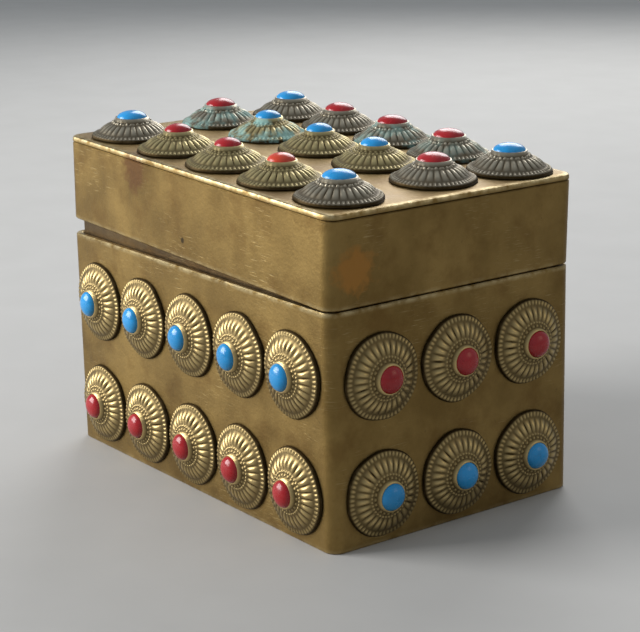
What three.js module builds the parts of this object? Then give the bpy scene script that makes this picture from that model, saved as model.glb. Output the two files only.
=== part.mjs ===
import * as THREE from 'three';

// Brass box with a lift-off lid, studded with stamped medallions that each carry a stone.
// Millimetres, +Z up, X along the long side, origin under the middle of the base.

// Box
const LENGTH = 128.4;
const WIDTH = 82.6;
const BASE_HEIGHT = 64;
const LID_HEIGHT = 24.8;
const CORNER_RADIUS = 3.8;
const WALL = 1.8;
const FLOOR_THICKNESS = 1.5;
const LID_PLATE_THICKNESS = 1.4;

// Inner rim that the lid slips over
const RIM_THICKNESS = 1.2;
const RIM_RISE = 9;
const RIM_DEPTH = 15;
const RIM_CLEARANCE = 0.6;

// The lid sits askew: its far end rides up on the rim
const LID_TILT = THREE.MathUtils.degToRad(1.89);
const SEAM_GAP = 0.35;
const SEAT_GAP = 0.3;

// Medallions
const MEDALLION_RADIUS = 12;
const MEDALLION_EDGE = 0.7;
const MEDALLION_SHEET = 0.6;
const SIDE_MEDALLION_RISE = 3.7;
const LID_MEDALLION_RISE = 5;
const CROWN_DROP = 0.7;
const SHOULDER_RADIUS = 9.6;
const SHOULDER_RISE = 1.3;
const CROWN_RADIUS = 5.2;
const MEDALLION_SIDES = 12;

// Stones
const SIDE_STONE_RADIUS = 3.75;
const LID_STONE_RADIUS = 4.5;
const STONE_GIRDLE = 1.2;
const STONE_CROWN = 1.2;

// Layout of the medallions
const LONG_SIDE_PITCH = 24.3;
const LONG_SIDE_COUNT = 5;
const END_PITCH = 25.1;
const END_COUNT = 3;
const LOWER_ROW_HEIGHT = 13.8;
const UPPER_ROW_HEIGHT = 45.3;
const LID_PITCH = 25.2;
const LID_ROWS = [
  { name: 'front', across: 0, up: -27.5, colours: 'tccct' },
  { name: 'middle', across: -1.7, up: 4.8, colours: 'ctttc' },
  { name: 'back', across: 1, up: 29, colours: 'tccct' },
];

const BRASS = { color: 0x9c7f45, roughness: 0.42, metalness: 1 };
const DARK_BRASS = { color: 0x54401f, roughness: 0.6, metalness: 1 };
const TURQUOISE = { color: 0x1ba7e6, roughness: 0.25, metalness: 0 };
const CORAL = { color: 0xc4131f, roughness: 0.25, metalness: 0 };

const roundedOutline = (length, width, radius, Outline) => {
  const x = length / 2;
  const y = width / 2;
  const outline = new Outline();
  outline.moveTo(x, -y + radius);
  outline.lineTo(x, y - radius);
  outline.absarc(x - radius, y - radius, radius, 0, Math.PI / 2);
  outline.lineTo(-x + radius, y);
  outline.absarc(-x + radius, y - radius, radius, Math.PI / 2, Math.PI);
  outline.lineTo(-x, -y + radius);
  outline.absarc(-x + radius, -y + radius, radius, Math.PI, 1.5 * Math.PI);
  outline.lineTo(x - radius, -y);
  outline.absarc(x - radius, -y + radius, radius, 1.5 * Math.PI, 2 * Math.PI);
  return outline;
};

// Plate or band of the box's plan, drawn in from the outer faces by inset
const roundedPrism = (inset, height, thickness = 0) => {
  const size = (d) => [LENGTH - 2 * d, WIDTH - 2 * d, CORNER_RADIUS - Math.min(d, CORNER_RADIUS - 0.5)];
  const shape = roundedOutline(...size(inset), THREE.Shape);
  if (thickness > 0) shape.holes.push(roundedOutline(...size(inset + thickness), THREE.Path));
  return new THREE.ExtrudeGeometry(shape, { depth: height, bevelEnabled: false, curveSegments: 5 });
};

const lathe = (profile, sides) => {
  const points = profile.map(([radius, height]) => new THREE.Vector2(radius, height));
  return new THREE.LatheGeometry(points, sides).rotateX(Math.PI / 2);
};

// Stamped sheet dome, open at the back, with the stone that its bezel holds
const medallionGeometry = (rise, stoneRadius) => lathe([
  [0, rise - MEDALLION_SHEET],
  [CROWN_RADIUS - MEDALLION_SHEET, rise - CROWN_DROP - MEDALLION_SHEET],
  [MEDALLION_RADIUS - 2 * MEDALLION_SHEET, 0],
  [MEDALLION_RADIUS, 0],
  [MEDALLION_RADIUS, MEDALLION_EDGE],
  [SHOULDER_RADIUS, SHOULDER_RISE],
  [CROWN_RADIUS, rise - CROWN_DROP],
  [stoneRadius, rise],
  [stoneRadius, rise + STONE_GIRDLE],
  [stoneRadius * 0.65, rise + STONE_GIRDLE + STONE_CROWN * 0.75],
  [0, rise + STONE_GIRDLE + STONE_CROWN],
], MEDALLION_SIDES);

const part = new THREE.Group();
const base = new THREE.Group();
const lid = new THREE.Group();
part.add(base, lid);

const addMesh = (group, name, geometry, look) => {
  const mesh = new THREE.Mesh(geometry, new THREE.MeshStandardMaterial(look));
  mesh.name = name;
  group.add(mesh);
  return mesh;
};

addMesh(base, 'base_walls', roundedPrism(0, BASE_HEIGHT, WALL), BRASS);
addMesh(base, 'base_floor', roundedPrism(WALL + SEAT_GAP, FLOOR_THICKNESS), BRASS);
const rim = addMesh(base, 'inner_rim',
  roundedPrism(WALL + RIM_CLEARANCE, RIM_DEPTH + RIM_RISE, RIM_THICKNESS), DARK_BRASS);
rim.position.z = BASE_HEIGHT - RIM_DEPTH;

// The lid turns about the bottom edge of its right-hand end
const pivot = new THREE.Vector3(LENGTH / 2, 0, BASE_HEIGHT + SEAM_GAP);
lid.position.copy(pivot);
lid.rotation.y = LID_TILT;
const lidFrame = new THREE.Group();
lidFrame.position.x = -LENGTH / 2;
lid.add(lidFrame);
const bandHeight = LID_HEIGHT - LID_PLATE_THICKNESS - SEAT_GAP;
addMesh(lidFrame, 'lid_band', roundedPrism(0, bandHeight, WALL), BRASS);
addMesh(lidFrame, 'lid_plate', roundedPrism(0, LID_PLATE_THICKNESS), BRASS).position.z =
  LID_HEIGHT - LID_PLATE_THICKNESS;

// A face's frame: where its middle is at the bottom, and the turn that lays +Z along its outward normal
const face = (group, origin, turn) => ({ group, origin, turn });
const upright = (yaw) => new THREE.Matrix4().makeRotationZ(yaw)
  .multiply(new THREE.Matrix4().makeRotationX(Math.PI / 2));
const FRONT = face(base, new THREE.Vector3(0, -WIDTH / 2, 0), upright(0));
const BACK = face(base, new THREE.Vector3(0, WIDTH / 2, 0), upright(Math.PI));
const RIGHT = face(base, new THREE.Vector3(LENGTH / 2, 0, 0), upright(Math.PI / 2));
const LEFT = face(base, new THREE.Vector3(-LENGTH / 2, 0, 0), upright(-Math.PI / 2));
const TOP = face(lidFrame, new THREE.Vector3(0, 0, LID_HEIGHT), new THREE.Matrix4());

const onFace = (geometry, { origin, turn }, across, up, out) => {
  geometry.translate(across, up, out + SEAT_GAP);
  geometry.applyMatrix4(turn);
  return geometry.translate(origin.x, origin.y, origin.z);
};

// One row of medallions, coloured for their stones.
// colours holds t for a turquoise stone and c for a coral one, left to right.
const addRow = (target, name, { count, pitch, across = 0, up, rise, stoneRadius, colours }) => {
  for (let i = 0; i < count; i += 1) {
    const place = across + (i - (count - 1) / 2) * pitch;
    const stone = colours[i % colours.length] === 't' ? TURQUOISE : CORAL;
    addMesh(target.group, `medallion_${name}_${i + 1}`,
      onFace(medallionGeometry(rise, stoneRadius), target, place, up, 0), stone);
  }
};

const sideRows = (target, name, count, pitch, upperColours, lowerColours) => {
  const row = { count, pitch, rise: SIDE_MEDALLION_RISE, stoneRadius: SIDE_STONE_RADIUS };
  addRow(target, `${name}_upper`, { ...row, up: UPPER_ROW_HEIGHT, colours: upperColours });
  addRow(target, `${name}_lower`, { ...row, up: LOWER_ROW_HEIGHT, colours: lowerColours });
};

sideRows(FRONT, 'front', LONG_SIDE_COUNT, LONG_SIDE_PITCH, 't', 'c');
sideRows(BACK, 'back', LONG_SIDE_COUNT, LONG_SIDE_PITCH, 't', 'c');
sideRows(RIGHT, 'right', END_COUNT, END_PITCH, 'c', 't');
sideRows(LEFT, 'left', END_COUNT, END_PITCH, 'c', 't');
for (const { name, ...row } of LID_ROWS) {
  addRow(TOP, `lid_${name}`, {
    count: LONG_SIDE_COUNT, pitch: LID_PITCH, rise: LID_MEDALLION_RISE, stoneRadius: LID_STONE_RADIUS, ...row,
  });
}

export default part;
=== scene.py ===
import math

import bpy
import numpy as np
from mathutils import Matrix, Vector


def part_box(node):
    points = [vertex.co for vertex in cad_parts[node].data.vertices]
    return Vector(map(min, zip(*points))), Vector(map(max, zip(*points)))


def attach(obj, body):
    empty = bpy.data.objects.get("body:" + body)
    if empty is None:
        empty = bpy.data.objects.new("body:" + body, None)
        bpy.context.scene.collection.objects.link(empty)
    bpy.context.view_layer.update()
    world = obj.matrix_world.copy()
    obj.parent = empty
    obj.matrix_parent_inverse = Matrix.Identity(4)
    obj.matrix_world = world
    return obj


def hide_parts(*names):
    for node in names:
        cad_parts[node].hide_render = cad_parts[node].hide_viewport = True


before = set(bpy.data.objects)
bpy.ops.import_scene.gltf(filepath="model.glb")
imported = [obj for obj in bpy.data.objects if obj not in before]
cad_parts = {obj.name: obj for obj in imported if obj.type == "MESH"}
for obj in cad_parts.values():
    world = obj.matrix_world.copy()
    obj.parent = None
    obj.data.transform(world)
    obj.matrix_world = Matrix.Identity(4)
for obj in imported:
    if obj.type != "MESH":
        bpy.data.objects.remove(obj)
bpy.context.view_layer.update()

MM = 0.001

# Camera, fitted to the box's edges in the photograph
CAMERA_AZIMUTH = math.radians(53.842)
CAMERA_ELEVATION = math.radians(15.092)
CAMERA_ROLL = math.radians(-1.241)
CAMERA_DISTANCE = 558.1 * MM
CAMERA_ACROSS = 1.6 * MM
CAMERA_HEIGHT = 42.0 * MM
LENS_PER_SENSOR = 1895.3 / 640
SENSOR = 36
FLOOR_HALF = 3.0

# Box, from the frame
BASE_LOW, BASE_HIGH = (np.array(c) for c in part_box("base_walls"))
LENGTH, WIDTH, BASE_HEIGHT = BASE_HIGH - BASE_LOW
RIM_LOW, RIM_HIGH = (np.array(c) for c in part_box("inner_rim"))
FLOOR_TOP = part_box("base_floor")[1][2]
CORNER_RADIUS = 3.8 * MM
WALL = 1.8 * MM
RIM_THICKNESS = 1.2 * MM
LID_HEIGHT = 24.8 * MM
PLATE_THICKNESS = 1.4 * MM
SEAT_GAP = 0.3 * MM
SEAM_GAP = 0.35 * MM
LID_TILT = math.radians(1.89)
EDGE_BEVEL = 0.35 * MM
WEAR_WIDTH = 1.4 * MM
CORNER_STEPS = 14

# Medallions; the rings of their relief are in millimetres from the middle
MEDALLION_RADIUS = 12 * MM
SIDE_RISE = 3.7 * MM
LID_RISE = 5.0 * MM
SIDE_STONE_RADIUS = 3.75 * MM
LID_STONE_RADIUS = 4.5 * MM
GOLD_STONE_RADIUS = 3.9 * MM
STONE_HEIGHT = 2.4 * MM
AROUND = 224
RIB_COUNT = 56
PETAL_COUNT = 28
BEAD_COUNT = 36
SHORT_RIB_COUNT = 22
OUTER_RADIUS = 12.0
RIM_RING = 11.0
PETAL_RING = 8.0
BEAD_RING = 5.75
BEZEL_WIDTH = 0.55
STONE_AROUND = 40
STONE_SEED = 500

TURQUOISE = (0.01, 0.31, 0.72)
CORAL = (0.4, 0.003, 0.008)
ORANGE_CORAL = (0.66, 0.055, 0.018)
LID_COLOURS = {"front": "tccot", "middle": "ctttc", "back": "tccct"}
GOLD_MEDALLIONS = ("medallion_lid_front_2", "medallion_lid_front_3", "medallion_lid_front_4",
                   "medallion_lid_middle_2", "medallion_lid_middle_3", "medallion_lid_middle_4")
VERDIGRIS = {"medallion_lid_middle_1": 0.8, "medallion_lid_middle_2": 1.0,
             "medallion_lid_back_3": 0.6, "medallion_lid_back_4": 0.35}


class Value:
    """A shader socket that takes part in sums."""

    def __init__(self, look, socket):
        self.look = look
        self.socket = socket

    def math(self, operation, *others):
        inputs = dict(enumerate((self,) + others))
        return self.look.node("ShaderNodeMath", {"operation": operation}, inputs)

    def __add__(self, other):
        return self.math("ADD", other)

    def __sub__(self, other):
        return self.math("SUBTRACT", other)

    def __mul__(self, other):
        return self.math("MULTIPLY", other)

    def ramp(self, low, high, start=0.0, end=1.0):
        inputs = {0: self, 1: low, 2: high, 3: start, 4: end}
        return self.look.node("ShaderNodeMapRange", {"clamp": True}, inputs)


class Look:
    """A material with one Principled shader."""

    def __init__(self, name):
        self.material = bpy.data.materials.new(name)
        self.material.use_nodes = True
        self.tree = self.material.node_tree
        self.shader = self.tree.nodes["Principled BSDF"]
        self.place = self.node("ShaderNodeTexCoord", {}, {}, "Object")

    def node(self, kind, settings, inputs, output=0):
        made = self.tree.nodes.new(kind)
        for key, value in settings.items():
            setattr(made, key, value)
        for key, value in inputs.items():
            self.feed(made.inputs[key], value)
        return Value(self, made.outputs[output])

    def feed(self, socket, value):
        if isinstance(value, Value):
            self.tree.links.new(value.socket, socket)
        else:
            socket.default_value = value

    def set(self, **inputs):
        for key, value in inputs.items():
            self.feed(self.shader.inputs[key.replace("_", " ")], value)

    def noise(self, scale, detail=4.0, roughness=0.55, stretch=(1, 1, 1), shift=(0, 0, 0)):
        at = self.node("ShaderNodeMapping", {}, {"Vector": self.place, "Scale": stretch, "Location": shift})
        return self.node("ShaderNodeTexNoise", {}, {"Vector": at, "Scale": scale, "Detail": detail,
                                                    "Roughness": roughness})

    def mix(self, factor, a, b):
        colour = [(*c, 1.0) if isinstance(c, tuple) else c for c in (a, b)]
        return self.node("ShaderNodeMix", {"data_type": "RGBA"}, {0: factor, 6: colour[0], 7: colour[1]}, 2)

    def attribute(self, name):
        return self.node("ShaderNodeAttribute", {"attribute_name": name}, {}, "Fac")

    def spot(self, centre, radius):
        inputs = {0: self.place, 1: centre}
        moved = self.node("ShaderNodeVectorMath", {"operation": "DISTANCE"}, inputs, "Value")
        ragged = moved + (self.noise(420) - 0.5) * (radius * 1.2)
        return ragged.ramp(radius, radius * 0.55)

    def bump(self, height, distance):
        normal = self.node("ShaderNodeBump", {}, {"Strength": 1.0, "Distance": distance, "Height": height})
        self.set(Normal=normal)


def sheet_brass(name, pale, deep, stains_and_sheen=()):
    """Old satin sheet: cloudy colour, fine scratches, freckles and rubbed edges."""
    look = Look(name)
    clouds = look.noise(38, 6, 0.62)
    blotches = look.noise(95, 5, 0.6, shift=(3, 1, 2)).ramp(0.5, 0.68)
    freckles = look.noise(900, 3, 0.6).ramp(0.66, 0.76)
    scratches = look.noise(260, 2, 0.5, stretch=(1, 1, 14)).ramp(0.6, 0.74)
    scratches = scratches * look.noise(60, 3).ramp(0.5, 0.62)
    colour = look.mix(clouds.ramp(0.36, 0.66), deep, pale)
    colour = look.mix(blotches * 0.45, colour, (0.15, 0.08, 0.022))
    colour = look.mix(freckles * 0.5, colour, (0.12, 0.08, 0.035))
    colour = look.mix(scratches * 0.35, colour, (0.6, 0.48, 0.25))
    # Given spots: real stains, and painted sheen where a spot is lighter than the sheet.
    for centre, radius, stain_and_sheen in stains_and_sheen:
        colour = look.mix(look.spot(centre, radius) * 0.8, colour, stain_and_sheen)
    wear = look.attribute("wear") * look.noise(300, 3).ramp(0.35, 0.6)
    colour = look.mix(wear, colour, (0.74, 0.62, 0.36))
    look.set(Base_Color=colour, Metallic=1.0, Roughness=clouds.ramp(0.3, 0.7, 0.4, 0.56) - wear * 0.12)
    look.bump(look.noise(150, 5, 0.6) * 0.7 + look.noise(1200, 3) * 0.2 - scratches * 0.1, 0.25 * MM)
    return look.material


def stamped_brass(name, pale):
    """Stamped relief: rubbed bright on top, dirt in the recesses, verdigris where it has bloomed."""
    look = Look(name)
    relief = look.attribute("relief")
    worn = relief.ramp(0.3, 0.85)
    colour = look.mix(worn, (0.05, 0.032, 0.012), pale)
    colour = look.mix(look.noise(240, 4).ramp(0.52, 0.7) * 0.35, colour, (0.2, 0.14, 0.07))
    bloom = look.attribute("verdigris") * look.noise(210, 5, 0.6).ramp(0.45, 0.62)
    colour = look.mix(bloom * 0.85, colour, (0.33, 0.6, 0.56))
    dull = relief.ramp(0.2, 0.8, 0.62, 0.34)
    look.set(Base_Color=colour, Metallic=bloom.ramp(0.2, 0.9, 1.0, 0.1), Roughness=dull + bloom * 0.3)
    look.bump(look.noise(900, 4) * 0.5 + look.noise(260, 3) * 0.4, 0.14 * MM)
    return look.material


def stone_look(name, colour):
    """Polished cabochon with faint veins and scuffs."""
    look = Look(name)
    veins = look.noise(330, 4, 0.6).ramp(0.58, 0.66)
    cloud = look.noise(120, 3).ramp(0.3, 0.7)
    lighter = tuple(min(1.0, c * 1.25 + 0.012) for c in colour)
    darker = tuple(c * 0.55 for c in colour)
    tint = look.mix(veins * 0.3, look.mix(cloud, colour, lighter), darker)
    look.set(Base_Color=tint, Roughness=look.noise(500, 3).ramp(0.3, 0.7, 0.16, 0.32), Coat_Weight=0.15)
    look.bump(look.noise(420, 3), 0.06 * MM)
    return look.material


def place_lid(points):
    """From the lid's own frame, standing on its bottom edge, to where it sits askew."""
    cosine, sine = math.cos(LID_TILT), math.sin(LID_TILT)
    across = points[..., 0] - LENGTH / 2
    up = points[..., 2]
    placed = points.copy()
    placed[..., 0] = LENGTH / 2 + across * cosine + up * sine
    placed[..., 2] = BASE_HEIGHT + SEAM_GAP - across * sine + up * cosine
    return placed


def outline(inset):
    """The box's plan with rounded corners, drawn in by inset."""
    radius = max(CORNER_RADIUS - inset, 0.5 * MM)
    x, y = LENGTH / 2 - inset - radius, WIDTH / 2 - inset - radius
    points = []
    for corner, (sx, sy) in enumerate(((1, 1), (-1, 1), (-1, -1), (1, -1))):
        for step in range(CORNER_STEPS + 1):
            angle = (corner + step / CORNER_STEPS) * math.pi / 2
            points.append((sx * x + radius * math.cos(angle), sy * y + radius * math.sin(angle)))
    return np.array(points)


def add_object(name, vertices, faces, material, body, nodes, attributes=None, sharp=40):
    mesh = bpy.data.meshes.new(name)
    mesh.from_pydata([tuple(v) for v in vertices], [], faces)
    for key, values in (attributes or {}).items():
        layer = mesh.attributes.new(key, "FLOAT", "POINT")
        layer.data.foreach_set("value", np.asarray(values, dtype=np.float32))
    mesh.shade_smooth()
    mesh.set_sharp_from_angle(angle=math.radians(sharp))
    mesh.materials.append(material)
    piece = bpy.data.objects.new(name, mesh)
    bpy.context.scene.collection.objects.link(piece)
    if nodes:
        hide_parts(*nodes)
    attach(piece, body)
    return piece


def ring_faces(rings, around, closed):
    faces = []
    for i in range(rings if closed else rings - 1):
        low, high = i * around, (i + 1) % rings * around
        for j in range(around):
            k = (j + 1) % around
            faces.append((low + j, low + k, high + k, high + j))
    return faces


def add_sheet(name, section, material, body, solid=False, on_lid=False):
    """Sweeps a section of (inset, height, wear) round the plan: a closed band, or a flat plate."""
    rings = [np.c_[outline(inset), np.full(len(outline(inset)), height)] for inset, height, _ in section]
    points = np.concatenate(rings)
    around = len(rings[0])
    faces = ring_faces(len(rings), around, not solid)
    if solid:
        faces.append(tuple(reversed(range(around))))
        faces.append(tuple(range(len(points) - around, len(points))))
    wear = np.repeat([w for _, _, w in section], around)
    points = place_lid(points) if on_lid else points
    return add_object(name + "_sheet", points, faces, material, body, [name], {"wear": wear})


def band_section(outer, thickness, low, high, top_wear, bottom_wear):
    """A wall's section with eased edges, and a narrow rubbed strip along them."""
    inner = outer + thickness
    bevel = EDGE_BEVEL
    return [(outer + bevel, low, bottom_wear), (outer, low + bevel, bottom_wear),
            (outer, low + WEAR_WIDTH, 0), (outer, high - WEAR_WIDTH, 0), (outer, high - bevel, top_wear), (outer + bevel, high, top_wear),
            (inner - bevel, high, top_wear), (inner, high - bevel, top_wear), (inner, high - WEAR_WIDTH, 0),
            (inner, low + bevel, 0), (inner - bevel, low, 0)]


def ridge(position, centre, half_width):
    """A smooth hump from 0 to 1 about centre."""
    t = np.clip(np.abs(position - centre) / half_width, 0, 1)
    return 0.5 + 0.5 * np.cos(np.pi * t)


def medallion_relief(radius, angle, rise, stone_radius, random):
    """Height and relief of the stamped face, in millimetres, over radius and angle."""
    bezel = stone_radius / MM + BEZEL_WIDTH
    share = np.clip((RIM_RING - radius) / (RIM_RING - bezel), 0, 1)
    body = 0.8 + (rise / MM - 1.3) * share ** 0.92
    ribs = ridge(radius, RIM_RING, 1.0) * (0.16 + 0.2 * np.cos(RIB_COUNT * angle))
    petal_wave = np.abs(np.cos(PETAL_COUNT / 2 * angle + 0.4 * np.sin(angle + random.uniform(0, 6))))
    petals = ridge(radius, PETAL_RING, 2.1) ** 0.6 * (petal_wave ** 0.7 * 0.62 - 0.2)
    beads = ridge(radius, BEAD_RING, 0.45) * (0.2 + 0.16 * np.cos(BEAD_COUNT * angle))
    short = ridge(radius, bezel + 0.5, 0.5) * (0.1 + 0.16 * np.cos(SHORT_RIB_COUNT * angle))
    detail = ribs + petals + beads + short
    collar = np.clip((bezel - radius) / 0.25, 0, 1) * 1.1
    edge = np.clip((OUTER_RADIUS - radius) / 0.5, 0, 1)
    relief = np.clip(0.42 + detail * 1.15 + 0.4 * collar, 0, 1)
    relief = relief * (0.45 + 0.55 * edge)
    return np.minimum(body, rise / MM - 0.5) * edge ** 0.5 + detail * edge + collar, relief


def face_axes(name):
    """Across, up and outward directions of the face that a medallion lies on."""
    if "_lid_" in name:
        cosine, sine = math.cos(LID_TILT), math.sin(LID_TILT)
        return Vector((cosine, 0, -sine)), Vector((0, 1, 0)), Vector((sine, 0, cosine))
    outward = {"front": (0, -1, 0), "back": (0, 1, 0), "right": (1, 0, 0), "left": (-1, 0, 0)}
    normal = Vector(outward[name.split("_")[1]])
    up = Vector((0, 0, 1))
    return up.cross(normal), up, normal


def medallion_place(name):
    """Matrix from the medallion's own frame, standing on its back, to its place on the face."""
    low, high = (Vector(c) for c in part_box(name))
    across, up, normal = face_axes(name)
    centre = (low + high) / 2
    if "_lid_" in name:
        centre.z = low.z + MEDALLION_RADIUS * math.sin(LID_TILT)
    else:
        depth = (high - low).dot(Vector([abs(c) for c in normal]))
        centre -= normal * depth / 2
    turn = Matrix((across, up, normal)).transposed().to_4x4()
    return np.array(Matrix.Translation(centre) @ turn)


def apply(matrix, points):
    return points @ matrix[:3, :3].T + matrix[:3, 3]


def add_medallion(name, material, rise, stone_radius, seed):
    """The stamped dome: milled rim, petals, beads and bezel, with the uneven outline of hand work."""
    random = np.random.default_rng(seed)
    matrix = medallion_place(name)
    bezel_outer = stone_radius / MM + BEZEL_WIDTH
    radii = np.r_[OUTER_RADIUS, 11.85, 11.7, np.linspace(11.5, bezel_outer, 40), bezel_outer - 0.25,
                  bezel_outer - 0.5, bezel_outer - 0.6]
    angle = np.arange(AROUND) / AROUND * 2 * np.pi
    turn = random.uniform(0, 2 * np.pi)
    radius, theta = np.meshgrid(radii, angle, indexing="ij")
    height, relief = medallion_relief(radius, theta + turn, rise, stone_radius, random)
    sides = random.integers(2, 6)
    uneven = 1 - 0.012 * (1 + np.cos(sides * theta + turn)) - 0.006 * (1 + np.sin(7 * theta + turn))
    spread = radius * (1 + (uneven - 1) * np.clip((radius - 6) / 6, 0, 1)) * MM
    face = np.stack([spread * np.cos(theta), spread * np.sin(theta), height * MM], -1)
    back = face[:1].copy()
    back[..., 2] = 0
    inner_back = face[-1:].copy()
    inner_back[..., 2] = (rise - 1.0 * MM)
    hollow = back * 0.94
    rings = np.concatenate([hollow, back, face, inner_back])
    around = AROUND
    faces = ring_faces(len(rings), around, True)
    shade = np.concatenate([np.full((2, around), 0.4), relief, np.zeros((1, around))])
    bloom = np.full(shade.size, VERDIGRIS.get(name, 0.0))
    body = "lid" if "_lid_" in name else "base"
    add_object(name + "_stamped", apply(matrix, rings.reshape(-1, 3)), faces, material, body, [name],
               {"relief": shade.ravel(), "verdigris": bloom}, sharp=80)


def add_stone(name, material, rise, stone_radius, seed):
    """A cabochon held by the bezel: straight girdle, then a domed crown."""
    random = np.random.default_rng(seed + STONE_SEED)
    matrix = medallion_place(name)
    around = STONE_AROUND
    angle = np.arange(around) / around * 2 * np.pi
    stretch = 1 - 0.05 * random.random() * (1 + np.cos(2 * angle + random.uniform(0, 6))) / 2
    low = rise - 0.8 * MM
    top = rise + STONE_HEIGHT
    crown = [(stone_radius * math.cos(t), rise + 0.3 * MM + (STONE_HEIGHT - 0.3 * MM) * math.sin(t))
             for t in np.linspace(0, math.pi / 2 * 0.97, 10)]
    profile = [(stone_radius * 0.6, low), (stone_radius, low)] + crown
    rings = np.array([np.c_[r * stretch * np.cos(angle), r * stretch * np.sin(angle),
                            np.full(around, min(z, top))] for r, z in profile])
    points = rings.reshape(-1, 3)
    faces = ring_faces(len(profile), around, False)
    faces.append(tuple(reversed(range(around))))
    faces.append(tuple(range(len(points) - around, len(points))))
    body = "lid" if "_lid_" in name else "base"
    add_object(name + "_stone", apply(matrix, points), faces, material, body, [], sharp=60)


def stone_colour(face, row, index):
    """t for turquoise, c for coral, o for orange coral."""
    if face == "lid":
        return LID_COLOURS[row][index - 1]
    long_side = face in ("front", "back")
    return "t" if (row == "upper") == long_side else "c"


def add_all_medallions():
    pale = {"side": stamped_brass("stamped_brass", (0.56, 0.42, 0.19)),
            "lid": stamped_brass("stamped_brass_grey", (0.56, 0.5, 0.38)),
            "gold": stamped_brass("stamped_brass_gold", (0.74, 0.61, 0.3))}
    stones = {"t": stone_look("turquoise_stone", TURQUOISE), "c": stone_look("coral_stone", CORAL),
              "o": stone_look("orange_coral_stone", ORANGE_CORAL)}
    names = sorted(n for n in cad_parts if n.startswith("medallion_"))
    for seed, name in enumerate(names):
        face, row, index = name.split("_")[1:]
        on_lid = face == "lid"
        colour = stone_colour(face, row, int(index))
        slot = "medallion_turquoise" if colour == "t" else "medallion_coral"
        rise, radius = (LID_RISE, LID_STONE_RADIUS) if on_lid else (SIDE_RISE, SIDE_STONE_RADIUS)
        radius = GOLD_STONE_RADIUS if name in GOLD_MEDALLIONS else radius
        metal = "gold" if name in GOLD_MEDALLIONS else "lid" if on_lid else "side"
        add_medallion(name, pale[metal], rise, radius, seed)
        add_stone(name, stones[colour], rise, radius, seed)


def add_sheets():
    front = -WIDTH / 2
    # Spots on the lid band: a brown corrosion spot and a black pit on the front, both real, and a painted
    # sheen, a bright warm patch round the front right corner.
    stains_and_sheen = (((-26 * MM, front, 88 * MM), 7 * MM, (0.16, 0.075, 0.03)),
             ((-2.2 * MM, front, 71.8 * MM), 1.0 * MM, (0.02, 0.015, 0.01)),
             ((LENGTH / 2, -33 * MM, 74 * MM), 7 * MM, (0.42, 0.2, 0.05)))
    pale, deep = (0.35, 0.235, 0.082), (0.2, 0.127, 0.04)
    base = sheet_brass("base_sheet_brass", pale, deep)
    lid = sheet_brass("lid_sheet_brass", pale, deep, stains_and_sheen)
    # The inner rim, seen only through the seam, is coloured far darker than the sheet: painted shade for
    # the seam.
    rim_painted_shade = sheet_brass("rim_brass", (0.2, 0.14, 0.07), (0.07, 0.045, 0.025))
    add_sheet("base_walls", band_section(0, WALL, 0, BASE_HEIGHT, 0.5, 0.2), base, "base")
    floor = [(WALL + SEAT_GAP, 0, 0), (WALL + SEAT_GAP, FLOOR_TOP, 0)]
    add_sheet("base_floor", floor, base, "base", solid=True)
    rim_inset = RIM_LOW[0] + LENGTH / 2
    add_sheet("inner_rim", band_section(rim_inset, RIM_THICKNESS, RIM_LOW[2], RIM_HIGH[2], 0.3, 0),
              rim_painted_shade, "base")
    band_top = LID_HEIGHT - PLATE_THICKNESS - SEAT_GAP
    add_sheet("lid_band", band_section(0, WALL, 0, band_top, 0.0, 0.25), lid, "lid", on_lid=True)
    low = LID_HEIGHT - PLATE_THICKNESS
    ease = EDGE_BEVEL * 0.6
    plate = [(0, low, 0), (0, LID_HEIGHT - 2 * EDGE_BEVEL, 0.5), (ease, LID_HEIGHT - ease, 0.9),
             (2 * EDGE_BEVEL, LID_HEIGHT, 0.6), (2 * EDGE_BEVEL + WEAR_WIDTH, LID_HEIGHT, 0)]
    add_sheet("lid_plate", plate, lid, "lid", solid=True, on_lid=True)


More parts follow.
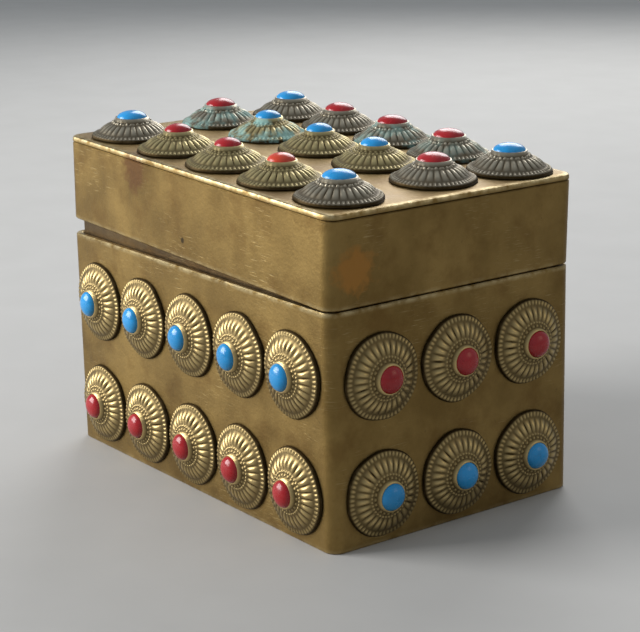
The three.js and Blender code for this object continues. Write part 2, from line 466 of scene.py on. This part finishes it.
def add_camera():
    a, e = CAMERA_AZIMUTH, CAMERA_ELEVATION
    back = Vector((math.sin(a) * math.cos(e), -math.cos(a) * math.cos(e), math.sin(e)))
    level = Vector((math.cos(a), math.sin(a), 0))
    upright = back.cross(level)
    cosine, sine = math.cos(CAMERA_ROLL), math.sin(CAMERA_ROLL)
    right = cosine * level + sine * upright
    up = cosine * upright - sine * level
    data = bpy.data.cameras.new("camera")
    data.sensor_width = SENSOR
    data.lens = LENS_PER_SENSOR * SENSOR
    camera = bpy.data.objects.new("camera", data)
    bpy.context.scene.collection.objects.link(camera)
    eye = right * CAMERA_ACROSS + up * CAMERA_HEIGHT + back * CAMERA_DISTANCE
    camera.matrix_world = Matrix.Translation(eye) @ Matrix((right, up, back)).transposed().to_4x4()
    bpy.context.scene.camera = camera


def add_light(name, place, size, power, colour=(1, 1, 1)):
    data = bpy.data.lights.new(name, "AREA")
    data.size = size
    data.energy = power
    data.color = colour
    light = bpy.data.objects.new(name, data)
    bpy.context.scene.collection.objects.link(light)
    aim = Vector((0, 0, 0.05)) - Vector(place)
    light.matrix_world = Matrix.Translation(place) @ aim.to_track_quat("-Z", "Y").to_matrix().to_4x4()


def add_stage():
    look = Look("floor_paint")
    camera_ray = look.node("ShaderNodeLightPath", {}, {}, "Is Camera Ray")
    glossy_ray = look.node("ShaderNodeLightPath", {}, {}, "Is Glossy Ray")
    seen = camera_ray.math("MAXIMUM", glossy_ray)
    pale = look.mix(look.noise(30, 3), (0.52, 0.51, 0.49), (0.58, 0.57, 0.55))
    look.set(Base_Color=look.mix(seen, (0.2, 0.16, 0.11), pale), Roughness=0.7)
    mesh = bpy.data.meshes.new("floor")
    half = FLOOR_HALF
    corners = [(-half, -half, 0), (half, -half, 0), (half, half, 0), (-half, half, 0)]
    mesh.from_pydata(corners, [], [(0, 1, 2, 3)])
    mesh.materials.append(look.material)
    floor = bpy.data.objects.new("floor", mesh)
    bpy.context.scene.collection.objects.link(floor)
    add_light("key_softbox", (-0.55, -0.75, 0.45), 0.6, 10.5)
    add_light("top_softbox", (-0.6, 0.7, 0.6), 0.6, 4.5)
    add_light("end_softbox", (0.8, 0.45, 0.45), 0.4, 0.35, (1, 0.82, 0.55))
    world = bpy.data.worlds.new("studio")
    world.use_nodes = True
    sky = world.node_tree.nodes["Background"]
    sky.inputs["Color"].default_value = (0.8, 0.86, 0.92, 1)
    sky.inputs["Strength"].default_value = 0.38
    bpy.context.scene.world = world
    bpy.context.scene.view_settings.view_transform = "Standard"


add_camera()
add_stage()
add_sheets()
add_all_medallions()
